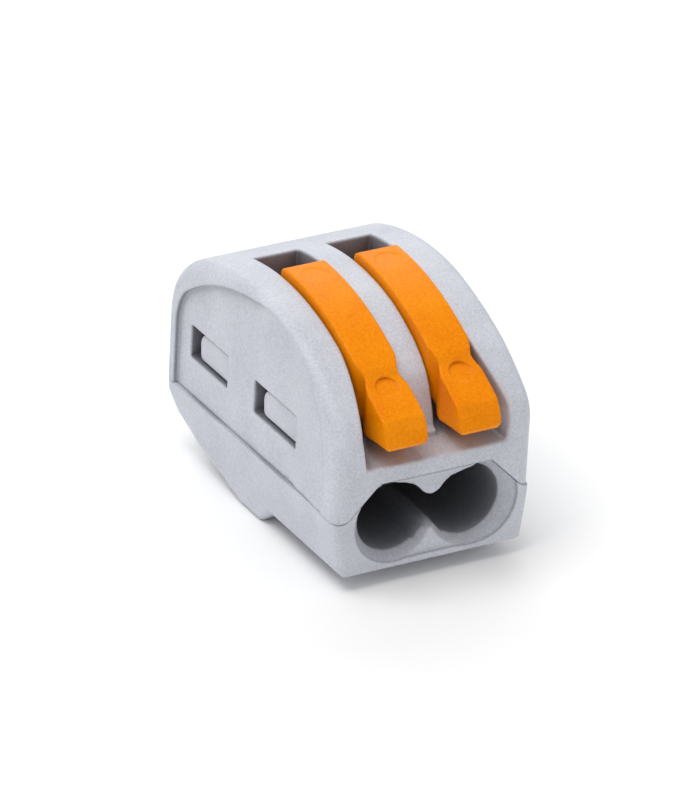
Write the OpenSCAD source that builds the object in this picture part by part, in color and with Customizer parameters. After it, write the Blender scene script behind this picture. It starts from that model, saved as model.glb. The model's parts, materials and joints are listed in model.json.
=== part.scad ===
// Lever wire connector for two conductors: a two-part moulded housing, two
// levers on trunnions, two cage clamp springs and one current bar.
//
// Every module is laid out from the front face: x = 0 is the middle of the
// width, y = 0 the front face with the wire entries, z = 0 the front bottom
// edge. from_front() then moves the origin to the middle of the foot it rests on.

/* [Housing] */
// Width of the housing
body_w = 13; // [13:0.1:14]
// Depth of the housing, front face to back face
body_d = 20.75; // [20.6:0.05:21]
// Height of the crowned top above the front bottom edge
crown_z = 13.6; // [13.5:0.05:13.7]
// Distance of the crown's highest line from the front face
crown_y = 11.7; // [11.5:0.1:11.9]
// Radius of the crowned top
crown_r = 16.3; // [16:0.1:16.5]
// Rounding between the front face and the crowned top
shoulder_r = 2.5; // [2:0.1:3]
// Rounding between the back face and the crowned top
heel_r = 5; // [4.5:0.5:6]
// Rounding of the long outer edges
edge_r = 0.9; // [0.6:0.1:1]
// Rounding of the upright rear edges and of the lower part's upright edges
rear_edge_r = 0.55; // [0.4:0.05:0.6]
// Height of the parting line between the two housing parts
parting_z = 3.4; // [3.35:0.05:3.5]
// Height of the raised middle of the parting line on the front face
parting_top_z = 5.65; // [5.6:0.05:5.75]
// Depth of the recessed side panels
panel_depth = 0.3; // [0.2:0.05:0.4]

/* [Foot] */
// How far the foot stands below the front bottom edge
foot_drop = 1; // [0.9:0.05:1.1]
// Where the foot's flat starts, from the front face
foot_front_y = 9.7; // [9.5:0.1:9.8]
// Where the foot's flat ends
foot_back_y = 12.1; // [12:0.1:12.4]

/* [Wire entries] */
// Distance between the two poles
pitch = 4.86; // [4.84:0.01:4.9]
// Height of the wire axis
entry_z = 3.06; // [3.02:0.02:3.1]
// Radius of the guide bore that takes the insulated wire
entry_r = 2.25; // [2.2:0.01:2.26]
// Radius of the funnel at the front face
funnel_r = 2.74; // [2.66:0.02:2.76]
// Depth of the funnel
funnel_d = 0.65; // [0.5:0.05:0.8]
// Height of the low wall between the two entries
septum_z = 2.25; // [2.1:0.05:2.4]
// Depth at which the wall between the two entries closes to full height
guide_y = 5.4; // [5:0.1:6]

/* [Levers] */
// Width of a lever
lever_w = 2.75; // [2.7:0.01:2.8]
// Width of a lever slot
slot_w = 2.93; // [2.9:0.01:3]
// Where a lever slot ends, from the front face
slot_back_y = 15.4; // [15.2:0.1:15.6]
// Height of the ledge under the finger pads
ledge_z = 6.7; // [6.65:0.05:6.8]
// Distance of the lever pivot from the front face
pivot_y = 10.8; // [10.7:0.1:10.9]
// Height of the lever pivot
pivot_z = 10.2; // [10.1:0.05:10.3]
// Radius of a lever trunnion
trunnion_r = 0.9; // [0.8:0.05:1]
// Length of a lever trunnion beyond the side of its lever
trunnion_l = 0.5; // [0.4:0.05:0.6]
// Running clearance around a trunnion
trunnion_gap = 0.05; // [0.03:0.01:0.08]
// Angle through which a lever opens
lever_open = 90; // [80:1:90]
// Thickness of the lever's curved strip
strip_t = 1.9; // [1.7:0.1:2]
// How far a closed lever stands out of the crowned top
lever_proud = 0.42; // [0.3:0.02:0.5]

/* [Clamp springs] */
// Thickness of the spring strip
spring_t = 0.4; // [0.35:0.05:0.4]
// Width of the spring strip
spring_w = 3.4; // [3.3:0.05:3.45]
// Middle radius of the spring's bow
bow_r = 1.6; // [1.55:0.05:1.65]
// Distance of the bow's centre from the front face
bow_y = 16.4; // [16.3:0.1:16.5]
// Length of the moving leg, from the bow's centre to the cage
arm_l = 6.6; // [6.5:0.1:6.7]
// Width of the window in the cage
window_w = 2.7; // [2.65:0.05:2.75]
// Angle through which the moving leg flexes when its lever opens
arm_open = 22; // [20:1:22]

/* [Current bar] */
// Thickness of the current bar
bar_t = 0.8; // [0.75:0.05:0.8]
// Width of each finger of the bar
finger_w = 2.4; // [2.3:0.05:2.45]
// Height of the bar's underside, against which the wire is clamped
bar_z = 4.3; // [4.28:0.01:4.32]

/* [Hidden] */

$fn = 96;
eps = 0.01;
cut = 30;                                   // longer than anything it cuts
half_w = body_w / 2;
pole_x = pitch / 2;
crown_cz = crown_z - crown_r;               // centre of the crown's arc
foot_mid_y = (foot_front_y + foot_back_y) / 2;
housing_gap = 0.03;                         // seam between the housing parts
rib_x = pole_x - slot_w / 2;                // half thickness of the centre rib
wall_x = pole_x + slot_w / 2;               // inner face of the wall beside a slot
seat_wall_t = 0.7;                          // wall that carries the outer trunnion
tongue_z = 4.1;                             // tip of the tongue between the entries
chamber_x0 = 0.5;                           // spring chamber, inner side
chamber_x1 = 4.2;                           // spring chamber, outer side
chamber_y0 = 8.4;
chamber_y1 = 18.8;
chamber_z0 = 1.1;
chamber_z1 = 9.1;
side_wall_t = 1.2;
tongue_t = 0.85;
tongue_x = half_w - side_wall_t - 0.05 - tongue_t;
tongue_top_z = 8.1;
// each snap window: [front y, back y, bottom z, top z]
windows = [[5.6, 10.65, 5.8, 7.9], [13.9, 18.35, 5.8, 7.9]];
bow_z = bar_z + bar_t + spring_t / 2 + bow_r;
strip_r = crown_r + lever_proud;            // radius of a closed lever's top
foot_start_y = foot_front_y - 1.2;          // where the underside steps down to the foot

// ---- helpers ----

// Moves the layout frame to the origin under the foot
module from_front() {
    translate([0, -foot_mid_y, foot_drop]) children();
}

// Extrudes a side profile, drawn as (y, z), across the width from x0 to x1
module across(x0, x1) {
    translate([x0, 0, 0])
        rotate([90, 0, 90])
            linear_extrude(x1 - x0)
                children();
}

// Extrudes a front profile, drawn as (x, z), from y0 back to y1
module back_from(y0, y1) {
    translate([0, y1, 0])
        rotate([90, 0, 0])
            linear_extrude(y1 - y0)
                children();
}

// Does the same on both sides of the middle plane
module both_sides() {
    children();
    mirror([1, 0, 0]) children();
}

module block(low, high) {
    translate(low) cube(high - low);
}

// A circle of the side profile about (y, z)
module disc(y, z, r) {
    translate([y, z]) circle(r);
}

// ---- housing outline ----

// Side profile of the whole housing above the parting line, drawn as (y, z) and
// pulled in by the given amount, less at the rear; it runs on below that line
module crown_profile(inset) {
    r = crown_r - inset;
    front = inset;
    back = body_d - inset * rear_edge_r / edge_r;
    front_r = shoulder_r - inset;
    back_r = heel_r - inset;
    front_z = crown_cz + sqrt(pow(r - front_r, 2) - pow(crown_y - front - front_r, 2));
    back_z = crown_cz + sqrt(pow(r - back_r, 2) - pow(back - back_r - crown_y, 2));
    arc_front = atan2(front_z - crown_cz, front + front_r - crown_y);
    arc_back = atan2(back_z - crown_cz, back - back_r - crown_y);
    front_steps = 6;
    steps = 24;
    back_steps = 8;
    polygon(concat(
        [[front, -2], [front, front_z]],
        [for (i = [1:front_steps]) let (a = 180 + (arc_front - 180) * i / front_steps)
            [front + front_r + front_r * cos(a), front_z + front_r * sin(a)]],
        [for (i = [1:steps]) let (a = arc_front + (arc_back - arc_front) * i / steps)
            [crown_y + r * cos(a), crown_cz + r * sin(a)]],
        [for (i = [1:back_steps]) let (a = arc_back * (1 - i / back_steps))
            [back - back_r + back_r * cos(a), back_z + back_r * sin(a)]],
        [[back, -2]]
    ));
}

// Upper part of the housing's outer form, its long edges rounded to edge_r
module crown_form() {
    layers = 4;
    hull()
        for (i = [0:layers]) {
            a = 90 * i / layers;
            reach = half_w - edge_r + edge_r * sin(a);
            across(-reach, reach) crown_profile(edge_r * (1 - cos(a)));
        }
}

// Front view of the lower part: the sides taper in, then drop to low_z, where
// the long bottom edges are rounded
module base_front(low_z) {
    bottom_x = half_w - 0.42;
    corner = 0.45;
    for (s = [-1, 1])
        translate([s * (bottom_x - corner), low_z + corner]) circle(corner);
    polygon([
        [-half_w, parting_top_z + 1], [-half_w, parting_z], [-bottom_x, corner],
        [-bottom_x, low_z + corner], [-bottom_x + corner, low_z], [bottom_x - corner, low_z],
        [bottom_x, low_z + corner], [bottom_x, corner], [half_w, parting_z],
        [half_w, parting_top_z + 1]
    ]);
}

// Side view of the lower part, with the foot and the sloping rear underside
module base_side() {
    heel_y = body_d - 1;
    heel_z = 1.45;
    polygon([
        [0, parting_top_z + 1], [0, 0.15], [0.15, 0], [foot_start_y, 0],
        [foot_front_y, -foot_drop], [foot_back_y, -foot_drop], [foot_back_y + 1.9, -0.5],
        [heel_y - 2.6, 0.25], [heel_y, heel_z], [body_d, heel_z + 1.2], [body_d, parting_top_z + 1]
    ]);
}

// Plan view of the lower part, its upright corners rounded
module plan() {
    r = rear_edge_r;
    for (x = [r - half_w, half_w - r], y = [r, body_d - r])
        translate([x, y]) circle(r);
    translate([r - half_w, 0]) square([body_w - 2 * r, body_d]);
    translate([-half_w, r]) square([body_w, body_d - 2 * r]);
}

// Front view of everything under the parting line; grow moves the line up
module below_parting(grow) {
    dip_x = 5.95;
    ramp = parting_top_z - parting_z;
    polygon([
        [-cut, -cut], [-cut, parting_z + grow], [-dip_x, parting_z + grow],
        [-dip_x + ramp, parting_top_z + grow], [dip_x - ramp, parting_top_z + grow],
        [dip_x, parting_z + grow], [cut, parting_z + grow], [cut, -cut]
    ]);
}

// The parting surface: stepped up over the wire entries, level behind them
module below_parting_solid(grow) {
    back_from(-cut, chamber_y0 + grow) below_parting(grow);
    block([-cut, -cut, -cut], [cut, cut, parting_z + grow]);
}

// ---- upper housing ----

// Plan view of one lever slot: it opens out around the finger pad
module slot_plan() {
    polygon([
        [rib_x, -1], [rib_x, slot_back_y], [wall_x, slot_back_y], [wall_x, 5.2],
        [wall_x + 0.2, 3.5], [wall_x + 0.43, 2.25], [wall_x + 0.74, 1], [wall_x + 1.03, 0],
        [wall_x + 1.3, -1]
    ]);
}

// The lever slot: a ledge, then a floor that rises to the chamber
module lever_slot() {
    ledge_back_y = 3.6;
    ledge_rise = 0.6;
    floor_y = 7;
    floor_z = chamber_z1 - 0.5;
    intersection() {
        translate([0, 0, ledge_z - 1]) linear_extrude(cut) slot_plan();
        across(0, half_w)
            polygon([
                [-2, ledge_z], [0, ledge_z], [ledge_back_y, ledge_z + ledge_rise], [floor_y, floor_z],
                [slot_back_y + 1, floor_z], [slot_back_y + 1, cut], [-2, cut]
            ]);
    }
}

// The front of the centre rib, cut back so that the ledge runs across
module rib_front_cut() {
    across(-rib_x - eps, rib_x + eps)
        polygon([
            [-1, ledge_z], [0, ledge_z], [1.8, ledge_z + 0.3], [2.1, 7.5], [2.33, 8.4], [2.81, 9.67],
            [3.24, 10.44], [3.88, 11.1], [4.77, 11.79], [6, 12.44], [7.5, 13.05], [7.5, cut], [-1, cut]
        ]);
}

// Side view of a recessed side panel: one arc on top, which leaves a rim under
// the crown that widens to the rear
module panel_side() {
    back_y = body_d - 0.93;
    corner = 1.1;
    corner_y = back_y - corner;
    corner_z = 8.73;
    turn = 40;                              // degrees that the rear corner turns through
    turn_step = 8;
    front_y = 13.6;                         // behind this the front arc no longer limits it
    intersection() {
        disc(crown_y, crown_cz, crown_r - 0.35);
        disc(9.6, -1.93, 15);
        union() {
            disc(front_y, 5, 11.9);
            translate([front_y, -1]) square([cut, cut]);
        }
        polygon(concat(
            [[-1, -1], [back_y, -1]],
            [for (a = [0:turn_step:turn]) [corner_y + corner * cos(a), corner_z + corner * sin(a)]],
            [[corner_y + corner * cos(turn) - 9 * sin(turn), corner_z + corner * sin(turn) + 9 * cos(turn)],
             [-1, cut]]
        ));
    }
}

// Room for one pole's spring, bar and wire behind the entries
module chamber() {
    block([chamber_x0, chamber_y0, -cut], [chamber_x1, chamber_y1, chamber_z1]);
}

// Room for the snap tongues, and the windows that their lugs catch in
module snap_room() {
    for (w = windows) {
        block([tongue_x - 0.1, w[0] - 0.25, -1], [half_w - side_wall_t, w[1] + 0.25, w[3] + 0.35]);
        block([tongue_x, w[0], w[2]], [half_w + 1, w[1], w[3]]);
    }
}

// Seats for one lever's trunnions, open below so that the lever snaps in
module trunnion_seats() {
    reach = lever_w / 2 + trunnion_l + 0.06;
    throat = trunnion_r * 1.7;
    across(pole_x - reach, pole_x + reach) {
        disc(pivot_y, pivot_z, trunnion_r + trunnion_gap);
        translate([pivot_y - throat / 2, chamber_z1 - 1]) square([throat, pivot_z - chamber_z1 + 1]);
    }
}

module upper_housing() {
    color("lightsteelblue") from_front() difference() {
        crown_form();
        below_parting_solid(housing_gap);
        rib_front_cut();
        both_sides() {
            lever_slot();
            chamber();
            snap_room();
            trunnion_seats();
            across(half_w - panel_depth, half_w + 1) panel_side();
        }
        // the current bar crosses from pole to pole under the centre rib
        block([-1, chamber_y0, -1], [1, chamber_y1, bar_z + bar_t + 0.05]);
    }
}

// ---- lower housing ----

// Outer form of the lower housing
module base_form() {
    intersection() {
        across(-half_w, half_w) base_side();
        union() {
            back_from(0, foot_start_y) base_front(0);
            back_from(foot_start_y, body_d) base_front(-foot_drop);
        }
        translate([0, 0, -5]) linear_extrude(cut) plan();
        below_parting_solid(0);
    }
}

// One wire entry: a lead-in, wider on the outer side, and the guide bore
module wire_entry() {
    offset_x = 0.3;
    translate([pole_x, -1, entry_z])
        rotate([-90, 0, 0])
            cylinder(h = chamber_y0 + 1, r = entry_r);
    hull() {
        translate([pole_x + offset_x, -eps, entry_z])
            rotate([-90, 0, 0]) cylinder(h = eps, r = funnel_r, $fn = 32);
        translate([pole_x, funnel_d, entry_z])
            rotate([-90, 0, 0]) cylinder(h = eps, r = entry_r - eps, $fn = 32);
    }
}

// The tongue that hangs down between the entries, a little back from the front
module entry_tongue() {
    tongue_d = funnel_d + 1;
    setback = 0.4;
    difference() {
        across(-pole_x, pole_x)
            polygon([
                [-1, parting_top_z], [0, parting_top_z - 0.05], [setback, parting_top_z - 0.65],
                [setback, tongue_z], [tongue_d, tongue_z], [tongue_d, parting_top_z]
            ]);
        for (s = [-1, 1])
            translate([s * pole_x, -2, entry_z])
                rotate([-90, 0, 0])
                    cylinder(h = tongue_d + 3, r = entry_r);
    }
}

// The open space over the low wall between the entries, with its lead-in
module entry_bridge() {
    half = 0.9;
    lip_z = 0.42;
    block([-half, -1, septum_z], [half, guide_y, tongue_z]);
    across(-pole_x, pole_x)
        polygon([[-1, lip_z], [-1, septum_z], [1.1, septum_z], [0.12, lip_z + 0.03], [0.12, lip_z]]);
}

// Snap tongues of one side, with the lugs that fill the windows
module snap_tongues() {
    lug_x = half_w - panel_depth - 0.2;
    for (w = windows) {
        block([tongue_x, w[0], chamber_z0 + 1], [tongue_x + tongue_t, w[1], tongue_top_z]);
        across(tongue_x + eps, lug_x) lug_side(w);
    }
}

// Side view of one lug: it leaves the back of its window open
module lug_side(w) {
    low_r = 0.4;
    top_r = 1.1;
    y0 = w[0] + 0.06;
    y1 = w[1] - 0.72;
    z0 = w[2] + 0.12;
    z1 = w[3] - 0.04;
    disc(y1 - low_r, z0 + low_r, low_r);
    intersection() {
        disc(y1 - top_r, z1 - top_r, top_r);
        translate([y0, z0 + low_r]) square([y1 - y0, z1 - z0]);
    }
    polygon([
        [y0, z0], [y1 - low_r, z0], [y1 - low_r, z0 + low_r], [y1, z0 + low_r],
        [y1, z1 - top_r], [y1 - top_r, z1 - top_r], [y1 - top_r, z1], [y0, z1]
    ]);
}

// Room inside the lower part: the chambers, and the foot's pocket for the cages
module base_room() {
    pocket_z = 0.25 - foot_drop / 2;
    rear_floor_z = 2.5;                     // clear of the sloping rear underside
    block([chamber_x0, chamber_y0, chamber_z0], [chamber_x1, foot_back_y + 1.2, cut]);
    block([chamber_x0, foot_front_y + 0.4, pocket_z], [chamber_x1, foot_back_y + 0.2, cut]);
    block([chamber_x0, chamber_y0, rear_floor_z], [chamber_x1, chamber_y1, cut]);
}

module lower_housing() {
    color("silver") from_front() {
        difference() {
            union() {
                base_form();
                both_sides() snap_tongues();
            }
            both_sides() {
                difference() {
                    wire_entry();
                    entry_tongue();
                }
                base_room();
            }
            entry_bridge();
            // the bar lies across the wall between the chambers
            block([-1, chamber_y0, bar_z], [1, chamber_y1, cut]);
        }
    }
}

// ---- levers ----

// Distance from the pivot to the spring leg when the lever is open by a degrees
function leg_distance(a) =
    let (flex = arm_open * a / lever_open)
    (bow_y - pivot_y) * sin(flex) + (pivot_z - bow_z) * cos(flex) - bow_r - spring_t / 2;

// Cam under the hub: cut back by the spring leg in steps of the lever's travel
module cam_side() {
    hub_r = 2;
    cam_gap = 0.04;
    steps = 15;
    reach = leg_distance(lever_open);
    difference() {
        union() {
            disc(pivot_y, pivot_z, hub_r);
            intersection() {
                disc(pivot_y, pivot_z, reach);
                translate([pivot_y - 0.6, pivot_z - 4]) square([5, 5.6]);
            }
        }
        translate([pivot_y, pivot_z])
            for (i = [0:steps]) {
                a = lever_open * i / steps;
                rotate(a * (1 + arm_open / lever_open) - 90)
                    translate([leg_distance(a) - cam_gap, -6]) square([6, 12]);
            }
    }
}

// Height of a closed lever's top at the given distance from the front face
function strip_top_z(y) = crown_cz + sqrt(pow(strip_r, 2) - pow(y - crown_y, 2));

// Side view of the lever: curved strip, finger pad, hub and cam
module lever_side() {
    strip_back_y = 12.4;
    intersection() {
        difference() {
            disc(crown_y, crown_cz, strip_r);
            disc(crown_y, crown_cz, strip_r - strip_t);
        }
        translate([2.6, 5]) square([strip_back_y - 2.6, 10]);
    }
    // finger pad
    polygon([
        [4.6, 12.2], [3.5, 11.72], [2.2, 11], [1.4, 10.55], [0.5, 10.08], [-0.1, 9.68], [-0.45, 9.15],
        [-0.7, 8.45], [-0.68, 8.08], [0.8, 7.95], [2.1, 7.8], [3.3, 8.9], [4.9, 10.4]
    ]);
    // web from the hub up to the strip
    translate([pivot_y - 1.9, pivot_z]) square([strip_back_y - 1.2 - pivot_y + 1.9, 2.4]);
    cam_side();
}

// V notches that mark the finger pad off from the strip
module pad_notches() {
    depth = 0.28;
    for (s = [-1, 1])
        translate([s * lever_w / 2, 0, 9.5])
            linear_extrude(3)
                polygon([[s, 3.4], [0, 3.4], [-s * depth, 2.75], [0, 2], [s, 2]]);
}

// Shallow round dimple sunk into the top of the lever
module dimple(y, z, tilt) {
    ball_r = 3.4;
    depth = 0.1;
    translate([0, y, z])
        rotate([tilt, 0, 0])
            translate([0, 0, ball_r - depth])
                sphere(ball_r);
}

module lever() {
    rear_dimple_y = 10.65;
    difference() {
        across(-lever_w / 2, lever_w / 2) lever_side();
        pad_notches();
        dimple(rear_dimple_y, strip_top_z(rear_dimple_y), asin((crown_y - rear_dimple_y) / strip_r));
        dimple(1.92, 10.81, 27.5);
    }
    translate([-lever_w / 2 - trunnion_l, pivot_y, pivot_z])
        rotate([0, 90, 0])
            cylinder(h = lever_w + 2 * trunnion_l, r = trunnion_r);
}

module left_lever() {
    color("orange") from_front() translate([-pole_x, 0, 0]) lever();
}

module right_lever() {
    color("orange") from_front() translate([pole_x, 0, 0]) lever();
}

// ---- current bar ----

// Two fingers, one through each cage, joined across the back
module current_bar() {
    finger_y = 8.9;
    bridge_y = 12.9;
    bar_back_y = 17.2;
    color("goldenrod") from_front() {
        for (s = [-1, 1])
            block([s * pole_x - finger_w / 2, finger_y, bar_z],
                  [s * pole_x + finger_w / 2, bar_back_y, bar_z + bar_t]);
        block([-pole_x, bridge_y, bar_z], [pole_x, bar_back_y, bar_z + bar_t]);
    }
}

// ---- clamp springs ----

// Half of the bow's ring between two angles, drawn as (y, z) about its centre
module bow_part(a0, a1) {
    far = 9;                                // well outside the ring
    intersection() {
        difference() {
            circle(bow_r + spring_t / 2);
            circle(bow_r - spring_t / 2);
        }
        polygon([[0, 0], far * [cos(a0), sin(a0)],
                 1.4 * far * [cos((a0 + a1) / 2), sin((a0 + a1) / 2)], far * [cos(a1), sin(a1)]]);
    }
}

// Fixed leg on the current bar, with the lower half of the bow
module spring_base() {
    base_front_y = 9;
    split_gap = 2;
    across(-finger_w / 2, finger_w / 2)
        translate([base_front_y, bow_z - bow_r - spring_t / 2])
            square([bow_y - base_front_y + eps, spring_t]);
    across(-finger_w / 2, finger_w / 2)
        translate([bow_y, bow_z]) bow_part(-90, -split_gap);
}

// Moving leg with the upper half of the bow, and the cage that hangs from it
module spring_arm() {
    cage_low_z = bar_z - 0.8;
    cage_y = bow_y - arm_l;
    leg_z = bow_z + bow_r;
    sill_z = bar_z - 0.05;
    across(-spring_w / 2, spring_w / 2) {
        translate([bow_y, bow_z]) bow_part(0, 90);
        translate([cage_y, leg_z - spring_t / 2]) square([arm_l + eps, spring_t]);
    }
    difference() {
        block([-spring_w / 2, cage_y, cage_low_z],
              [spring_w / 2, cage_y + spring_t, leg_z + spring_t / 2]);
        block([-window_w / 2, cage_y - 1, sill_z],
              [window_w / 2, cage_y + 1, leg_z - spring_t / 2 - 0.1]);
    }
}

module left_spring_base() {
    color("slategray") from_front() translate([-pole_x, 0, 0]) spring_base();
}

module left_spring_arm() {
    color("gray") from_front() translate([-pole_x, 0, 0]) spring_arm();
}

module right_spring_base() {
    color("slategray") from_front() translate([pole_x, 0, 0]) spring_base();
}

module right_spring_arm() {
    color("gray") from_front() translate([pole_x, 0, 0]) spring_arm();
}

upper_housing();
lower_housing();
left_lever();
right_lever();
current_bar();
left_spring_base();
left_spring_arm();
right_spring_base();
right_spring_arm();
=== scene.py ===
"""Looks of the lever wire connector.

Every piece is a signed distance field in millimetres, in the layout frame: x = 0 is the
middle of the width, y = 0 the front face, z = 0 the front bottom edge. mesh_piece() turns
a field into a mesh in the row frame, in metres. Negative distances are inside.
"""
import json
import math

import bpy
import numpy as np
from mathutils import Matrix, Vector


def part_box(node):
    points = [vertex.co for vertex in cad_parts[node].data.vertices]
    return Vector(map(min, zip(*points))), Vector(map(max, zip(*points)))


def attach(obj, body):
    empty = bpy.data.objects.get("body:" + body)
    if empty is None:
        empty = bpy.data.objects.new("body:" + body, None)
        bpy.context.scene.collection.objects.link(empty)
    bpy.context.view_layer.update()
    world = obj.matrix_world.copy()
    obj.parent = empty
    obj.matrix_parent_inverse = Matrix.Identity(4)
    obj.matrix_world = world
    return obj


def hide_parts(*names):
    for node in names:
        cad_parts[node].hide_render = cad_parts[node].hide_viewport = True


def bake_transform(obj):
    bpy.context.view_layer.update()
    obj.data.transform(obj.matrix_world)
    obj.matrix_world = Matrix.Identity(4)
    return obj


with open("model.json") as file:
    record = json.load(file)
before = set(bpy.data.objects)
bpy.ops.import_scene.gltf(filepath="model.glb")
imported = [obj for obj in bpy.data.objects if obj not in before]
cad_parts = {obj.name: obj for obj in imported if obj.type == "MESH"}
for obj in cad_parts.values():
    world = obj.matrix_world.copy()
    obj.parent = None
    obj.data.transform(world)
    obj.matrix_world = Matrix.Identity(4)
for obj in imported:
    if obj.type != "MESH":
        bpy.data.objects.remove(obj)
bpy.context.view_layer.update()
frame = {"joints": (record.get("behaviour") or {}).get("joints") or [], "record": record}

MM = 0.001

# ---- where the CAD puts things, in layout millimetres ----

upper_low, upper_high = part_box("upper_housing")
FRONT_Y = upper_low.y / MM                     # the front face in the row frame
FOOT_DROP = 1.0                                # the foot stands this far below z = 0
HALF_W = upper_high.x / MM
DEPTH = (upper_high.y - upper_low.y) / MM
CROWN_Z = upper_high.z / MM - FOOT_DROP


def layout_point(point):
    """A row frame point in metres, in layout millimetres."""
    return Vector((point[0] / MM, point[1] / MM - FRONT_Y, point[2] / MM - FOOT_DROP))


def row_point(x, y, z):
    """A layout point in the row frame, in metres."""
    return Vector((x * MM, (y + FRONT_Y) * MM, (z + FOOT_DROP) * MM))


JOINTS = {joint["name"]: joint for joint in frame["joints"]}
PIVOT = layout_point(JOINTS["right_lever_hinge"]["pos_m"])
BOW = layout_point(JOINTS["right_clamp_flex"]["pos_m"])
POLE_X = PIVOT.x

# The clamp arm turns by this share of its lever's angle
CLAMP_RATIO = next(
    c["ratio"] for c in frame["record"]["behaviour"]["couplings"] if c["joint"] == "right_clamp_flex"
)

# ---- driving sizes of the looks ----

CROWN_R = 16.3
CROWN_Y = 11.7
CROWN_CZ = CROWN_Z - CROWN_R                   # centre of the crown's arc
SHOULDER_R = 2.5                               # between the front face and the crown
HEEL_R = 5                                     # between the back face and the crown
EDGE_R = 0.9                                   # long outer edges
REAR_EDGE_R = 0.55                             # upright rear edges
BASE_EDGE_R = 0.6                              # upright front edges of the lower part
PARTING_Z = 3.4
PARTING_TOP_Z = 5.65                           # raised middle of the parting line in front
SEAM = 0.015
PANEL_DEPTH = 0.3
SIDE_WALL = 1.2
FOOT_FRONT_Y = 9.7                             # where the foot's flat starts
FOOT_BACK_Y = 12.1                             # where it ends
ENTRY_Z = 3.06
ENTRY_R = 2.25
FUNNEL_R = 2.74                                # bell-mouth of an entry at the front face
FUNNEL_D = 0.8
SEPTUM_Z = 2.25                                # crest of the low wall between the entries
TONGUE_Z = 4.1                                 # tip of the tongue over that wall
GUIDE_Y = 5.4                                  # where that wall closes to full height
LEDGE_Z = 6.7
LEVER_W = 2.75
LEVER_PROUD = 0.42
LEVER_TOP_R = CROWN_R + LEVER_PROUD            # top of a closed lever
SLOT_W = 2.93
RIB_X = POLE_X - SLOT_W / 2                    # side of the centre rib
WALL_X = POLE_X + SLOT_W / 2                   # wall beside a slot
SLOT_BACK_Y = 15.4
TRUNNION_R = 0.9
TRUNNION_L = 0.5
CHAMBER = ((0.5, 8.4, 1.1), (4.2, 18.8, 9.1))  # low and high corner of one spring chamber
BAR_Z = 4.3
BAR_T = 0.8
SPRING_T = 0.4
BOW_R = 1.6
SNAP_T = 0.85                                  # thickness of a snap tongue
SNAP_X = HALF_W - SIDE_WALL - 0.05 - SNAP_T
SNAP_TOP_Z = 8.1
WINDOWS = ((5.6, 10.65, 5.8, 7.9), (13.9, 18.35, 5.8, 7.9))   # front, back, bottom, top
FAR = 30                                       # beyond the whole object

# ---- distance field operations ----


def both(a, b, r=0.0):
    """Where a and b are both solid, the edge between them rounded to radius r."""
    if np.ndim(r) == 0 and not r:
        return np.maximum(a, b)
    corner = np.hypot(np.maximum(a + r, 0), np.maximum(b + r, 0))
    return np.minimum(-r, np.maximum(a, b)) + corner


def either(a, b, r=0.0):
    """Where a or b is solid, the inner corner between them filled to radius r."""
    return -both(-a, -b, r)


def carve(a, b, r=0.0):
    """a with b taken out of it, the rim rounded to radius r."""
    return both(a, -b, r)


def disc(u, v, cu, cv, r):
    """A circle of radius r about (cu, cv)."""
    return np.hypot(u - cu, v - cv) - r


def slab(u, low, high):
    """The layer between two planes."""
    return np.maximum(low - u, u - high)


def rect(u, v, low, high, r=0.0):
    """A rectangle of the (u, v) plane with its corners rounded to radius r."""
    qu = np.abs(u - (low[0] + high[0]) / 2) - (high[0] - low[0]) / 2 + r
    qv = np.abs(v - (low[1] + high[1]) / 2) - (high[1] - low[1]) / 2 + r
    return np.hypot(np.maximum(qu, 0), np.maximum(qv, 0)) + np.minimum(np.maximum(qu, qv), 0) - r


def brick(x, y, z, low, high, r=0.0):
    """A box with all its edges rounded to radius r."""
    q = [
        np.abs(c - (a + b) / 2) - (b - a) / 2 + r
        for c, a, b in zip((x, y, z), low, high)
    ]
    outside = np.sqrt(sum(np.maximum(c, 0) ** 2 for c in q))
    return outside + np.minimum(np.maximum(np.maximum(q[0], q[1]), q[2]), 0) - r


def outline(corners):
    """The points of a closed outline whose corners (u, v, r) are rounded to radius r."""
    points = []
    for i, (u, v, r) in enumerate(corners):
        here = Vector((u, v))
        before = Vector(corners[i - 1][:2]) - here
        after = Vector(corners[(i + 1) % len(corners)][:2]) - here
        if not r:
            points.append((u, v))
            continue
        half = before.angle(after) / 2
        reach = min(r / math.tan(half), before.length * 0.49, after.length * 0.49)
        fillet = reach * math.tan(half)
        middle = here + (before.normalized() + after.normalized()).normalized() * fillet / math.sin(half)
        start = here + before.normalized() * reach - middle
        end = here + after.normalized() * reach - middle
        steps = max(2, int(math.degrees(start.angle(end)) / 7))
        for k in range(steps + 1):
            way = start.slerp(end, k / steps)
            points.append(tuple(middle + way.normalized() * fillet))
    return points


def inside_outline(u, v, points):
    """Distance of (u, v) from a closed outline of points."""
    nearest = np.inf
    crossings = False
    for (au, av), (bu, bv) in zip(points, points[1:] + points[:1]):
        eu, ev = bu - au, bv - av
        if eu == 0 and ev == 0:
            continue
        pu, pv = u - au, v - av
        t = np.clip((pu * eu + pv * ev) / (eu * eu + ev * ev), 0, 1)
        nearest = np.minimum(nearest, (pu - t * eu) ** 2 + (pv - t * ev) ** 2)
        if ev != 0:
            crossings = crossings ^ (((av > v) != (bv > v)) & (pu < eu * pv / ev))
    return np.where(crossings, -1.0, 1.0) * np.sqrt(nearest)


# ---- from field to mesh ----

SETTLE_ROUNDS = 4
MOST_TRIANGLES = 190_000                       # of one piece


def gradient(field, p, h=0.02):
    """Value and gradient of the field at the points p."""
    value = field(p[:, 0], p[:, 1], p[:, 2])
    slopes = []
    for axis in range(3):
        step = np.zeros(3)
        step[axis] = h
        ahead = field(*(p + step).T)
        behind = field(*(p - step).T)
        slopes.append((ahead - behind) / (2 * h))
    return value, np.stack(slopes, 1)


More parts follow.
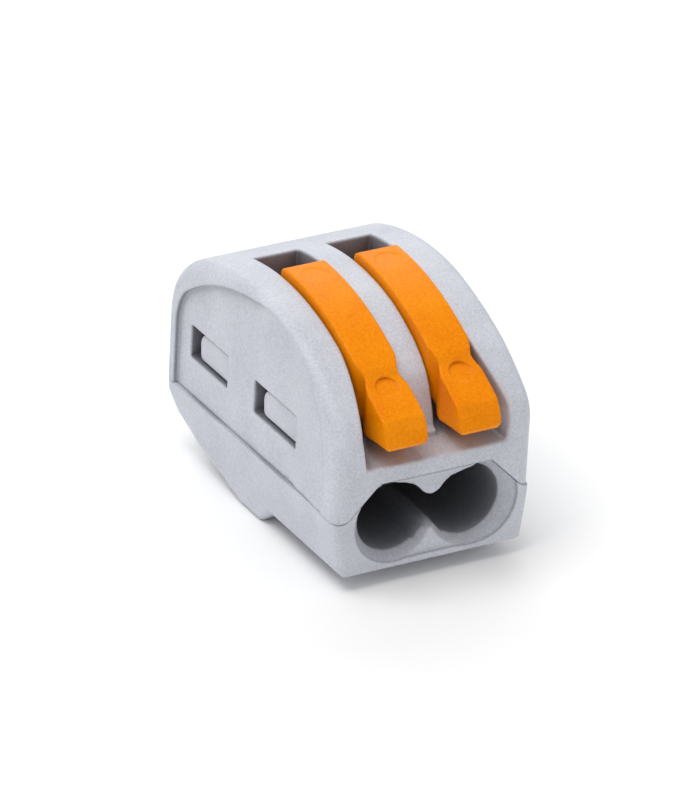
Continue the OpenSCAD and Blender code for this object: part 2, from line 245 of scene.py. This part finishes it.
def surface_nets(field, low, high, step):
    """Vertices and quads of the field's zero surface, on a grid of that step."""
    axes = [np.arange(a - 1.5 * step, b + 2.5 * step, step) for a, b in zip(low, high)]
    x, y, z = np.meshgrid(*axes, indexing="ij", sparse=True)
    shape = tuple(len(a) for a in axes)
    f = np.broadcast_to(field(x, y, z), shape).astype(np.float32)
    solid = f < 0
    cells = tuple(n - 1 for n in shape)

    def corner(grid, i, j, k):
        return grid[i:i + cells[0], j:j + cells[1], k:k + cells[2]]

    offsets = [(i, j, k) for i in (0, 1) for j in (0, 1) for k in (0, 1)]
    count = sum(corner(solid, *o).astype(np.int8) for o in offsets)
    mixed = (count > 0) & (count < 8)
    cell = np.argwhere(mixed)
    total = np.zeros((len(cell), 3))
    crossed = np.zeros(len(cell))
    for a in offsets:
        for axis in range(3):
            if a[axis]:
                continue
            b = list(a)
            b[axis] = 1
            fa = f[tuple((cell + a).T)]
            fb = f[tuple((cell + b).T)]
            hit = (fa < 0) != (fb < 0)
            t = np.where(hit, fa / np.where(hit, fa - fb, 1), 0)
            place = np.array(a, float) + np.zeros((len(cell), 3))
            place[:, axis] += t
            total += place * hit[:, None]
            crossed += hit
    start = np.array([a[0] for a in axes])
    points = start + (cell + total / crossed[:, None]) * step
    # settle the vertices on the surface
    for _ in range(SETTLE_ROUNDS):
        value, slope = gradient(field, points)
        size = np.maximum((slope ** 2).sum(1), 0.25)
        move = -(value / size)[:, None] * slope
        length = np.linalg.norm(move, axis=1, keepdims=True)
        points += move * np.minimum(1, 0.4 * step / np.maximum(length, 1e-9))
    number = np.full(cells, -1, np.int64)
    number[mixed] = np.arange(len(cell))
    quads = []
    for axis in range(3):
        u, v = (axis + 1) % 3, (axis + 2) % 3
        first = [slice(None)] * 3
        second = [slice(None)] * 3
        first[axis] = slice(None, -1)
        second[axis] = slice(1, None)
        s0, s1 = solid[tuple(first)], solid[tuple(second)]
        edge = np.argwhere(s0 != s1)
        edge = edge[(edge[:, u] > 0) & (edge[:, v] > 0)]
        outward = s0[tuple(edge.T)]
        around = []
        for du, dv in ((-1, -1), (0, -1), (0, 0), (-1, 0)):
            c = edge.copy()
            c[:, u] += du
            c[:, v] += dv
            around.append(number[tuple(c.T)])
        quad = np.stack(around, 1)
        quad[~outward] = quad[~outward][:, ::-1]
        quads.append(quad)
    return points, np.concatenate(quads)


def mesh_piece(name, field, low, high, step, material):
    """A smooth mesh object of the field, in the row frame."""
    points, quads = surface_nets(field, low, high, step)
    mesh = bpy.data.meshes.new(name)
    place = (points + (0, FRONT_Y, FOOT_DROP)) * MM
    mesh.vertices.add(len(place))
    mesh.vertices.foreach_set("co", place.ravel())
    mesh.loops.add(quads.size)
    mesh.loops.foreach_set("vertex_index", quads.ravel())
    mesh.polygons.add(len(quads))
    mesh.polygons.foreach_set("loop_start", np.arange(0, quads.size, 4))
    mesh.update(calc_edges=True)
    mesh.validate()
    mesh.shade_smooth()
    piece = bpy.data.objects.new(name, mesh)
    bpy.context.scene.collection.objects.link(piece)
    if len(quads) * 2 > MOST_TRIANGLES:
        thin = piece.modifiers.new("thin", "DECIMATE")
        thin.ratio = MOST_TRIANGLES / (2 * len(quads))
        graph = bpy.context.evaluated_depsgraph_get()
        lean = bpy.data.meshes.new_from_object(piece.evaluated_get(graph), depsgraph=graph)
        piece.modifiers.remove(thin)
        piece.data = lean
        bpy.data.meshes.remove(mesh)
    piece.data.materials.append(material)
    return piece


# ---- housing outline ----


def crown_side(y, z):
    """Side view of the crowned top with its rounded shoulder and heel."""
    d = both(disc(y, z, CROWN_Y, CROWN_CZ, CROWN_R), slab(y, 0, DEPTH))
    for c_y, r, sign in ((SHOULDER_R, SHOULDER_R, -1), (DEPTH - HEEL_R, HEEL_R, 1)):
        c_z = CROWN_CZ + math.sqrt((CROWN_R - r) ** 2 - (c_y - CROWN_Y) ** 2)
        across_y = (y - c_y) * sign
        up_z = z - c_z
        # the rounding holds between the level ray and the ray to the crown's centre
        lean_y = (c_y - CROWN_Y) * sign
        lean_z = c_z - CROWN_CZ
        in_corner = (up_z > 0) & (across_y * lean_z - up_z * lean_y > 0)
        d = np.where(in_corner, np.hypot(across_y, up_z) - r, d)
    return d


def under_parting(ax, y, z):
    """The space below the parting surface, which steps up over the wire entries."""
    ramp = PARTING_TOP_Z - PARTING_Z
    dip_x = 5.95
    step_front = outline([
        (-3, -4, 0), (-3, PARTING_TOP_Z, 0), (dip_x - ramp, PARTING_TOP_Z, 0.35),
        (dip_x, PARTING_Z, 0), (dip_x, -4, 0),
    ])
    raised = both(inside_outline(ax, z, step_front), y - CHAMBER[0][1])
    return either(z - PARTING_Z, raised, 0.3)


# ---- upper housing ----


def panel_side(y, z):
    """Side view of the recessed side panel: its rim widens towards the rear."""
    back_y = DEPTH - 0.93
    front_y = 13.6                             # the front arc's centre
    top = disc(y, z, 9.6, -1.93, 15)
    front = np.where(y < front_y, disc(y, z, front_y, 5, 11.9), -2)
    return both(both(top, front, 2.2), np.maximum(y - back_y, 3 - z), 1.1)


def slot_space(ax, y, z):
    """The lever slots: they flare round the finger pads and end over the chambers."""
    flare_start_y = 5.2
    lean_start_z = 8.56
    flare = 1.035 * np.clip(1 - y / flare_start_y, 0, 1.4) ** 1.5
    lean = 1 - 0.155 * np.clip(lean_start_z - z, 0, lean_start_z - LEDGE_Z)
    wall = (ax - WALL_X - flare * lean) * 0.95
    plan = np.maximum(np.maximum(RIB_X - ax, wall), y - SLOT_BACK_Y)
    floor_z = CHAMBER[1][2] - 0.5
    side = inside_outline(y, z, outline([
        (-6, LEDGE_Z, 0), (0, LEDGE_Z, 2), (3.6, LEDGE_Z + 0.6, 1), (7, floor_z, 1),
        (20, floor_z, 0), (20, FAR, 0), (-6, FAR, 0),
    ]))
    return both(plan, side, 0.15)


def rib_front_space(ax, y, z):
    """The space in front of and above the centre rib."""
    side = inside_outline(y, z, outline([
        (-6, LEDGE_Z, 0), (0, LEDGE_Z, 2), (1.75, LEDGE_Z + 0.3, 0.05), (1.8, 7.35, 0.12),
        (2.12, 7.55, 0.1), (2.33, 8.4, 1.5), (2.81, 9.67, 1.5), (3.24, 10.44, 1.5),
        (3.88, 11.1, 1.5), (4.77, 11.79, 2), (6, 12.44, 4), (7.5, 13.08, 6), (9.4, 13.6, 0),
        (9.4, FAR, 0), (-6, FAR, 0),
    ]))
    return both(side, ax - RIB_X - 0.4)


def upper_housing(x, y, z):
    """The crowned cover: panels, lever slots, chambers, snap windows and trunnion seats."""
    ax = np.abs(x)
    # the long edges grow sharper towards the rear
    long_r = EDGE_R + (REAR_EDGE_R - EDGE_R) * np.clip((y - 18) / 2, 0, 1)
    d = both(crown_side(y, z), ax - HALF_W, long_r)
    # the panel grows shallower towards the front
    depth = PANEL_DEPTH * np.clip((y - 0.5) / 6, 0.35, 1)
    d = carve(d, both(panel_side(y, z), HALF_W - depth - ax, 0.08), 0.1)
    d = carve(d, slot_space(ax, y, z), 0.16)
    d = carve(d, rib_front_space(ax, y, z), 0.14)
    (x0, y0, _), (x1, y1, z1) = CHAMBER
    d = carve(d, brick(ax, y, z, (x0, y0, -FAR), (x1, y1, z1), 0.15), 0.1)
    for w in WINDOWS:
        room_low = (SNAP_X - 0.1, w[0] - 0.25, -FAR)
        room_high = (HALF_W - SIDE_WALL, w[1] + 0.25, w[3] + 0.35)
        d = carve(d, brick(ax, y, z, room_low, room_high))
        window = both(rect(y, z, (w[0], w[2]), (w[1], w[3]), 0.08), SNAP_X + 0.2 - ax)
        d = carve(d, window, 0.07)
    reach = LEVER_W / 2 + TRUNNION_L + 0.085
    seat = both(disc(y, z, PIVOT.y, PIVOT.z, TRUNNION_R + 0.05), slab(ax, POLE_X - reach, POLE_X + reach))
    d = carve(d, seat, 0.06)
    # the current bar crosses from pole to pole under the centre rib
    d = carve(d, brick(x, y, z, (-1, y0, -FAR), (1, y1, BAR_Z + BAR_T + 0.05)))
    return carve(d, under_parting(ax, y, z) - SEAM, 0.03)


# ---- lower housing ----


def base_outer(ax, y, z):
    """The lower part's outer form: tapering sides, stepped foot, sloping rear underside."""
    side = inside_outline(y, z, outline([
        (0, 9, 0), (0, 0, 0.15), (8.5, 0, 0.3), (FOOT_FRONT_Y, -FOOT_DROP, 0.35),
        (FOOT_BACK_Y, -FOOT_DROP, 1.2), (14, -0.5, 4), (17.2, 0.25, 5), (DEPTH - 1, 1.45, 0.9),
        (DEPTH, 2.65, 0.5), (DEPTH, 9, 0),
    ]))
    bottom_x = HALF_W - 0.42
    front = inside_outline(ax, z, outline([
        (-3, -9, 0), (-3, 9, 0), (HALF_W, 9, 0), (HALF_W, PARTING_Z, 2), (bottom_x, 0.3, 2),
        (bottom_x, -9, 0),
    ]))
    return both(both(side, front, 0.45), plan_outer(ax, y), 0.12)


def plan_outer(ax, y):
    """Plan view of the lower part, its upright edges rounded."""
    fore = rect(ax, y, (-HALF_W, 0), (HALF_W, DEPTH + 5), BASE_EDGE_R)
    rear = rect(ax, y, (-HALF_W, -5), (HALF_W, DEPTH), REAR_EDGE_R)
    return np.maximum(fore, rear)


def bell_mouth(x, y, z, step):
    """The lead-ins of both wire entries, which start behind a small step."""
    ax = np.abs(x)
    # full on the outer side and below, fading out towards the tongue
    out = (ax - POLE_X) / ENTRY_R
    rise = (z - ENTRY_Z) / ENTRY_R
    full = np.clip(np.maximum(0.9 + 1.2 * out - 0.45 * rise, 0.3 - 1.5 * rise), 0, 1)
    t = full * np.clip(1 - (y - step) / (FUNNEL_D - step), 0, 1)
    # the right one reaches further out than the left one
    reach = np.where(x > 0, 0.42, 0.03) * np.clip(out + 0.2, 0, 1)
    bell = disc(ax - reach * t, z, POLE_X, ENTRY_Z, ENTRY_R + (FUNNEL_R - ENTRY_R) * t) * 0.6
    return np.maximum(bell, y - FUNNEL_D)


def entry_space(x, y, z):
    """The wire entries, their bell-mouths and the open space between them."""
    ax = np.abs(x)
    step = 0.18
    lip_z = 0.42
    setback_z = 5.6
    bore = disc(ax, z, POLE_X, ENTRY_Z, ENTRY_R)
    # the tongue between the entries stands a little back from the front face
    tongue_y = 0.4 * np.clip((setback_z - z) / 0.6, 0, 1)
    setback = np.maximum(np.maximum(y - tongue_y, ax - POLE_X), np.maximum(z - setback_z, SEPTUM_Z - z))
    # under the crest the face is set back as far as the lead-ins' step
    lip = np.maximum(np.maximum(lip_z - z, z - SEPTUM_Z - 0.4), ax - POLE_X)
    lip = np.maximum(lip, y - step - 0.1 * np.clip(z - lip_z - 0.03, 0, 2))
    # the crest falls towards the front and to both sides
    ridge_z = SEPTUM_Z - 0.3 * np.clip(1.5 - y, 0, 1.4) ** 2 - 0.9 * np.minimum(ax, 1) ** 2
    bridge = np.maximum(np.maximum(ridge_z - z, z - TONGUE_Z), np.maximum(ax - 0.9, y - GUIDE_Y))
    space = either(bore, bridge, np.where(z > ENTRY_Z, 0.36, 0.25))
    space = np.minimum(np.minimum(space, bell_mouth(x, y, z, step)), setback * 0.8)
    space = either(space, lip, 0.08)
    return np.maximum(space, y - CHAMBER[0][1] - 1)


def snap_tongue(ax, y, z, w):
    """One snap tongue and the lug that stands in its window."""
    tongue = brick(ax, y, z, (SNAP_X, w[0], 2.1), (SNAP_X + SNAP_T, w[1], SNAP_TOP_Z), 0.12)
    front_y, back_y, low_z, top_z = w[0] + 0.06, w[1] - 0.72, w[2] + 0.1, w[3] - 0.04
    side = inside_outline(y, z, outline([
        (front_y, low_z, 0.1), (back_y, low_z, 0.4), (back_y, top_z, 1.1), (front_y, top_z, 0.1),
    ]))
    lean = 0.1 * (w[3] - z) / (w[3] - w[2])
    lug = both(side, slab(ax, SNAP_X + 0.1, HALF_W - PANEL_DEPTH - 0.15 - lean), 0.2)
    return either(tongue, lug, 0.05)


def lower_housing(x, y, z):
    """The base: wire entries, chambers and the snap tongues that hold the cover."""
    ax = np.abs(x)
    d = base_outer(ax, y, z)
    d = both(d, under_parting(ax, y, z), 0.03)
    d = carve(d, entry_space(x, y, z), 0.05)
    (x0, y0, z0), (x1, y1, _) = CHAMBER
    # each chamber: deep in front, shallow over the sloping underside, deepest inside the foot
    for front_y, back_y, floor_z in (
        (y0, FOOT_BACK_Y + 1.2, z0), (y0, y1, 2.5), (FOOT_FRONT_Y + 0.4, FOOT_BACK_Y + 0.2, -0.25),
    ):
        d = carve(d, brick(ax, y, z, (x0, front_y, floor_z), (x1, back_y, FAR), 0.2), 0.05)
    d = carve(d, brick(x, y, z, (-1, y0, BAR_Z), (1, y1, FAR)))
    for w in WINDOWS:
        d = either(d, snap_tongue(ax, y, z, w), 0.1)
    return d


# ---- levers ----


def leg_distance(degrees):
    """Distance from the pivot to the spring leg when the lever is open by that much."""
    flex = math.radians(degrees) * CLAMP_RATIO
    away = (BOW.y - PIVOT.y) * math.sin(flex) + (PIVOT.z - BOW.z) * math.cos(flex)
    return away - BOW_R - SPRING_T / 2


def cam_side(y, z):
    """Side view of hub and cam, kept clear of the spring leg through the lever's travel."""
    lever_open = 90
    cam_gap = 0.06
    hub = disc(y, z, PIVOT.y, PIVOT.z, 2.0)
    lobe = both(
        disc(y, z, PIVOT.y, PIVOT.z, leg_distance(lever_open)),
        rect(y, z, (PIVOT.y - 0.6, PIVOT.z - 4), (PIVOT.y + 5, PIVOT.z + 1.6)), 0.4)
    d = either(hub, lobe, 0.4)
    for degrees in range(0, lever_open + 1, 6):
        turn = math.radians(degrees * (1 + CLAMP_RATIO) - 90)
        away = (y - PIVOT.y) * math.cos(turn) + (z - PIVOT.z) * math.sin(turn)
        d = both(d, away - leg_distance(degrees) + cam_gap)
    return d


def strip_top_z(y):
    """Height of a closed lever's top."""
    return CROWN_CZ + math.sqrt(LEVER_TOP_R ** 2 - (y - CROWN_Y) ** 2)


def lever_side(y, z):
    """Side view of the lever: curved strip, finger pad, hub and cam."""
    strip_t = 1.9
    ring = np.abs(np.hypot(y - CROWN_Y, z - CROWN_CZ) - LEVER_TOP_R + strip_t / 2) - strip_t / 2
    strip = both(ring, np.maximum(slab(y, 2.6, 12.4), 5 - z), 0.45)
    pad = inside_outline(y, z, outline([
        (4.6, 12.2, 0), (3.5, 11.68, 2), (2.1, 10.87, 2), (0.57, 10.1, 1.2), (-0.1, 9.7, 0.6),
        (-0.45, 9.12, 0.5), (-0.73, 8.36, 0.1), (-0.56, 8.05, 0.12), (0.8, 7.95, 0.8), (2.1, 7.8, 0.6),
        (3.3, 8.9, 2), (4.9, 10.4, 0),
    ]))
    web = rect(y, z, (PIVOT.y - 1.9, PIVOT.z), (11.2, PIVOT.z + 2.4))
    return either(either(strip, pad, 0.25), either(web, cam_side(y, z), 0.2), 0.4)


def lever(x, y, z):
    """A whole lever about its pole: strip and pad with their notches, dimples and trunnions."""
    ax = np.abs(x)
    # the pad's lower corners are rounded more than the strip's long edges
    edge_r = 0.1 + 0.22 * np.clip((8.7 - z) / 0.5, 0, 1) * (y < 2.2)
    d = both(lever_side(y, z), ax - LEVER_W / 2, edge_r)
    side_x = LEVER_W / 2
    notch = inside_outline(ax, y, outline([
        (3, 3.5, 0), (side_x, 3.5, 0), (side_x - 0.3, 2.75, 0.25), (side_x, 1.95, 0), (3, 1.95, 0),
    ]))
    d = carve(d, notch, 0.12)
    rear_y = 10.65
    rear_tilt = math.degrees(math.asin((CROWN_Y - rear_y) / LEVER_TOP_R))
    for c_y, c_z, tilt, r, depth in (
        (rear_y, strip_top_z(rear_y), rear_tilt, 0.85, 0.03), (1.92, 10.77, 27.5, 0.72, 0.055),
    ):
        t = math.radians(tilt)
        along = (y - c_y) * math.cos(t) + (z - c_z) * math.sin(t)
        above = (z - c_z) * math.cos(t) - (y - c_y) * math.sin(t)
        # the floor is deepest at the rear and runs out at the front
        floor = -above - depth * (1 + along / r)
        d = carve(d, both(np.hypot(x, along) - r, floor, 0.05), 0.06)
    pin = both(disc(y, z, PIVOT.y, PIVOT.z, TRUNNION_R), ax - side_x - TRUNNION_L, 0.08)
    return either(d, pin, 0.03)


# ---- clamp springs and current bar ----


def bow_ring(y, z):
    """The full ring that the bow is half of."""
    return np.abs(np.hypot(y - BOW.y, z - BOW.z) - BOW_R) - SPRING_T / 2


def spring_bow(x, y, z):
    """The fixed leg of a clamp spring, with the whole bow."""
    ring = np.maximum(bow_ring(y, z), BOW.y - y)
    leg_z = BOW.z - BOW_R
    leg = rect(y, z, (9, leg_z - SPRING_T / 2), (BOW.y + 0.1, leg_z + SPRING_T / 2))
    half = 1.2 + 0.5 * np.clip((z - leg_z) / (2 * BOW_R), 0, 1)
    return both(np.minimum(ring, leg), np.abs(x) - half, 0.1)


def spring_cage(x, y, z):
    """The moving leg of a clamp spring, with the cage that hangs from it."""
    cage_y = BOW.y - 6.6
    leg_z = BOW.z + BOW_R
    side = inside_outline(y, z, outline([
        (BOW.y, leg_z + SPRING_T / 2, 0), (cage_y, leg_z + SPRING_T / 2, 0.6), (cage_y, 3.5, 0),
        (cage_y + SPRING_T, 3.5, 0), (cage_y + SPRING_T, leg_z - SPRING_T / 2, 0.2),
        (BOW.y, leg_z - SPRING_T / 2, 0),
    ]))
    d = both(side, np.abs(x) - 1.7, 0.1)
    window = both(rect(np.abs(x), z, (-3, 4.25), (1.35, leg_z - 0.3), 0.2), y - cage_y - 1)
    return carve(d, window, 0.06)


def current_bar(x, y, z):
    """Two fingers, one under each clamp, joined across the back."""
    ax = np.abs(x)
    back_y = 17.2
    finger = rect(ax, y, (POLE_X - 1.2, 8.9), (POLE_X + 1.2, back_y), 0.3)
    bridge = rect(ax, y, (-2, 12.9), (POLE_X + 1, back_y), 0.3)
    return both(either(finger, bridge, 0.4), slab(z, BAR_Z, BAR_Z + BAR_T), 0.1)


# ---- materials ----


def new_material(name):
    """A node material, with its nodes, its links and its main shader."""
    material = bpy.data.materials.new(name)
    material.use_nodes = True
    nodes = material.node_tree.nodes
    return material, nodes, material.node_tree.links, nodes["Principled BSDF"]


def noise(nodes, links, coords, scale_per_mm, detail=3.0, roughness=0.5):
    """A noise texture whose grain is given per millimetre of the object."""
    texture = nodes.new("ShaderNodeTexNoise")
    texture.inputs["Scale"].default_value = scale_per_mm / MM
    texture.inputs["Detail"].default_value = detail
    texture.inputs["Roughness"].default_value = roughness
    links.new(coords, texture.inputs["Vector"])
    return texture.outputs["Fac"]


def ramp(nodes, links, value, stops):
    """A colour ramp over (position, linear colour) stops."""
    node = nodes.new("ShaderNodeValToRGB")
    points = node.color_ramp.elements
    while len(points) < len(stops):
        points.new(0.5)
    for point, (position, colour) in zip(points, stops):
        point.position = position
        point.color = (*colour, 1)
    links.new(value, node.inputs["Fac"])
    return node.outputs["Color"]


def linear(red, green, blue):
    """A display colour, 0 to 255, as linear light (the sRGB curve)."""
    return tuple(
        ((c / 255 + 0.055) / 1.055) ** 2.4 if c > 10 else c / 3295 for c in (red, green, blue)
    )


# Reach and strength of the painted shade: ambient occlusion darkens the colour in recesses
PAINTED_SHADE_REACH = 4.8
PAINTED_SHADE_STRENGTH = 1.55


def painted_recess_shade(nodes, links, colour, recess_shade_colour):
    """Painted shade: the colour, falling off to a dark one where ambient occlusion finds the surface
    inside a recess.
    """
    occlusion = nodes.new("ShaderNodeAmbientOcclusion")
    occlusion.samples = 8
    occlusion.only_local = True
    occlusion.inputs["Distance"].default_value = PAINTED_SHADE_REACH * MM
    openness = nodes.new("ShaderNodeMath")
    openness.operation = "POWER"
    openness.inputs[1].default_value = PAINTED_SHADE_STRENGTH
    links.new(occlusion.outputs["AO"], openness.inputs[0])
    mix = nodes.new("ShaderNodeMix")
    mix.data_type = "RGBA"
    mix.inputs["A"].default_value = (*recess_shade_colour, 1)
    links.new(openness.outputs[0], mix.inputs["Factor"])
    links.new(colour, mix.inputs["B"])
    return mix.outputs["Result"]


def moulded_plastic(name, shade, dark, light, recess_shade_colour, rough, glow, gloss):
    """Moulded polyamide: fine eroded grain, faint flow marks and painted shade that darkens the colour in
    recesses.
    """
    material, nodes, links, shader = new_material(name)
    coords = nodes.new("ShaderNodeTexCoord").outputs["Object"]
    flow = noise(nodes, links, coords, 0.35, 4)
    grain = noise(nodes, links, coords, 7, 3, 0.7)
    blend = nodes.new("ShaderNodeMix")
    blend.inputs["Factor"].default_value = 0.7
    links.new(flow, blend.inputs[2])
    links.new(grain, blend.inputs[3])
    body = ramp(nodes, links, blend.outputs[0], [(0.3, dark), (0.5, shade), (0.72, light)])
    # painted shade: the grain colour falls off to a dark colour in recesses
    shaded = painted_recess_shade(nodes, links, body, recess_shade_colour)
    links.new(shaded, shader.inputs["Base Color"])
    shine = nodes.new("ShaderNodeMapRange")
    shine.inputs["To Min"].default_value = rough - 0.07
    shine.inputs["To Max"].default_value = rough + 0.07
    links.new(grain, shine.inputs["Value"])
    links.new(shine.outputs["Result"], shader.inputs["Roughness"])
    bump = nodes.new("ShaderNodeBump")
    bump.inputs["Strength"].default_value = 0.25
    bump.inputs["Distance"].default_value = 0.02 * MM
    links.new(grain, bump.inputs["Height"])
    links.new(bump.outputs["Normal"], shader.inputs["Normal"])
    shader.inputs["IOR"].default_value = 1.5
    shader.inputs["Specular IOR Level"].default_value = gloss
    shader.inputs["Subsurface Weight"].default_value = glow
    shader.inputs["Subsurface Scale"].default_value = 0.4 * MM
    shader.inputs["Subsurface Radius"].default_value = (1.0, 0.8, 0.7)
    return material


def rolled_metal(name, shade, rough, across):
    """Rolled strip: fine lines along the rolling direction over a satin metal."""
    material, nodes, links, shader = new_material(name)
    coords = nodes.new("ShaderNodeTexCoord").outputs["Object"]
    stretch = nodes.new("ShaderNodeMapping")
    stretch.inputs["Scale"].default_value = across
    links.new(coords, stretch.inputs["Vector"])
    lines = noise(nodes, links, stretch.outputs["Vector"], 6, 3)
    dark = tuple(c * 0.8 for c in shade)
    links.new(ramp(nodes, links, lines, [(0.35, dark), (0.65, shade)]), shader.inputs["Base Color"])
    shine = nodes.new("ShaderNodeMapRange")
    shine.inputs["To Min"].default_value = rough - 0.08
    shine.inputs["To Max"].default_value = rough + 0.08
    links.new(lines, shine.inputs["Value"])
    links.new(shine.outputs["Result"], shader.inputs["Roughness"])
    shader.inputs["Metallic"].default_value = 1
    bump = nodes.new("ShaderNodeBump")
    bump.inputs["Strength"].default_value = 0.15
    bump.inputs["Distance"].default_value = 0.01 * MM
    links.new(lines, bump.inputs["Height"])
    links.new(bump.outputs["Normal"], shader.inputs["Normal"])
    return material


# The dark colour after the grain colours of each plastic is painted shade, put into its recesses
GREY = moulded_plastic(
    "housing_plastic", shade=linear(200, 203, 212), dark=linear(180, 183, 193),
    light=linear(219, 222, 230), recess_shade_colour=linear(48, 46, 54), rough=0.5, glow=0.03, gloss=0.5)
ORANGE = moulded_plastic(
    "lever_plastic", shade=linear(246, 140, 0), dark=linear(230, 117, 0),
    light=linear(252, 162, 20), recess_shade_colour=linear(176, 68, 0), rough=0.36, glow=0.05, gloss=0.1)
STEEL = rolled_metal("spring_steel", linear(178, 180, 183), 0.3, (0.15, 1, 1))
TIN = rolled_metal("tinned_copper", linear(205, 202, 196), 0.38, (1, 0.15, 1))

# ---- build the pieces ----

FINE = 0.1                                     # grid step of the housing parts


def stand_for(node):
    """Hides the CAD node, so that the piece stands for it."""
    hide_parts(node)


piece = mesh_piece(
    "upper_cover", upper_housing, (-HALF_W, 0, PARTING_Z), (HALF_W, DEPTH, CROWN_Z), FINE, GREY)
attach(piece, "housing")
stand_for("upper_housing")

piece = mesh_piece(
    "lower_base", lower_housing, (-HALF_W, 0, -FOOT_DROP), (HALF_W, DEPTH, 8.3), FINE, GREY)
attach(piece, "housing")
stand_for("lower_housing")

for side, shift in (("left", -POLE_X), ("right", POLE_X)):

    def moved(field, shift=shift):
        return lambda x, y, z: field(x - shift, y, z)

    piece = mesh_piece(
        f"{side}_lever_moulding", moved(lever), (shift - 2, -1, 6), (shift + 2, 14.5, 14.5),
        FINE * 0.8, ORANGE)
    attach(piece, f"{side}_lever")
    stand_for(f"{side}_lever")

    piece = mesh_piece(
        f"{side}_spring_bow", moved(spring_bow), (shift - 1.8, 9, 5), (shift + 1.8, 18.3, 8.8),
        0.08, STEEL)
    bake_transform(piece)
    stand_for(f"{side}_spring_base")

    piece = mesh_piece(
        f"{side}_spring_cage", moved(spring_cage), (shift - 1.8, 9.7, 3.4), (shift + 1.8, 16.5, 8.8),
        0.08, STEEL)
    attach(piece, f"{side}_clamp_arm")
    stand_for(f"{side}_spring_arm")

piece = mesh_piece("tinned_bar", current_bar, (-3.7, 8.8, 4.2), (3.7, 17.3, 5.2), 0.1, TIN)
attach(piece, "housing")
stand_for("current_bar")

# ---- floor, light and camera ----


def studio():
    """A pale floor in a white room, with three soft area lights."""
    scene = bpy.context.scene
    scene.view_settings.view_transform = "Standard"
    world = bpy.data.worlds.new("studio")
    scene.world = world
    world.use_nodes = True
    background = world.node_tree.nodes["Background"]
    background.inputs["Color"].default_value = (1, 1, 1, 1)
    background.inputs["Strength"].default_value = 0.46

    mesh = bpy.data.meshes.new("floor")
    reach = 2.0
    corners = [(-reach, -reach, 0), (reach, -reach, 0), (reach, reach, 0), (-reach, reach, 0)]
    mesh.from_pydata(corners, [], [(0, 1, 2, 3)])
    floor = bpy.data.objects.new("floor", mesh)
    scene.collection.objects.link(floor)
    material, _, _, shader = new_material("pale_floor")
    shader.inputs["Base Color"].default_value = (0.98, 0.98, 0.98, 1)
    shader.inputs["Roughness"].default_value = 0.9
    mesh.materials.append(material)

    for name, place, size, power in (
        ("key", (-0.14, 0.02, 0.4), 0.3, 1.1),
        ("fill", (0.35, -0.3, 0.25), 0.4, 0.2),
        ("back", (0.16, 0.36, 0.28), 0.35, 0.6),
    ):
        lamp = bpy.data.lights.new(name, "AREA")
        lamp.size = size
        lamp.energy = power
        holder = bpy.data.objects.new(name, lamp)
        scene.collection.objects.link(holder)
        holder.location = place
        holder.rotation_euler = Vector(place).to_track_quat("Z", "Y").to_euler()


def aim_camera():
    """The camera that sees the connector from the left, in front and above."""
    azimuth, elevation, roll = math.radians(-30.766), math.radians(27.537), math.radians(3.036)
    distance = 466.853
    long_side = 800                            # of the picture
    focal_length = 7993.8                      # on the same scale as long_side
    shift_right, shift_up = -2.487, -21.819
    aim = row_point(0, 10, 7)
    back = Vector((
        math.sin(azimuth) * math.cos(elevation),
        -math.cos(azimuth) * math.cos(elevation),
        math.sin(elevation)))
    right = (-back).cross(Vector((0, 0, 1))).normalized()
    up = right.cross(-back)
    side = math.cos(roll) * right + math.sin(roll) * up
    top = -math.sin(roll) * right + math.cos(roll) * up
    camera = bpy.data.cameras.new("camera")
    holder = bpy.data.objects.new("camera", camera)
    bpy.context.scene.collection.objects.link(holder)
    turn = Matrix((side, top, back)).transposed().to_4x4()
    holder.matrix_world = Matrix.Translation(aim + back * distance * MM) @ turn
    camera.sensor_width = 36
    camera.lens = focal_length * camera.sensor_width / long_side
    camera.shift_x = shift_right / long_side
    camera.shift_y = shift_up / long_side
    camera.clip_start = 0.01
    bpy.context.scene.camera = holder


studio()
aim_camera()
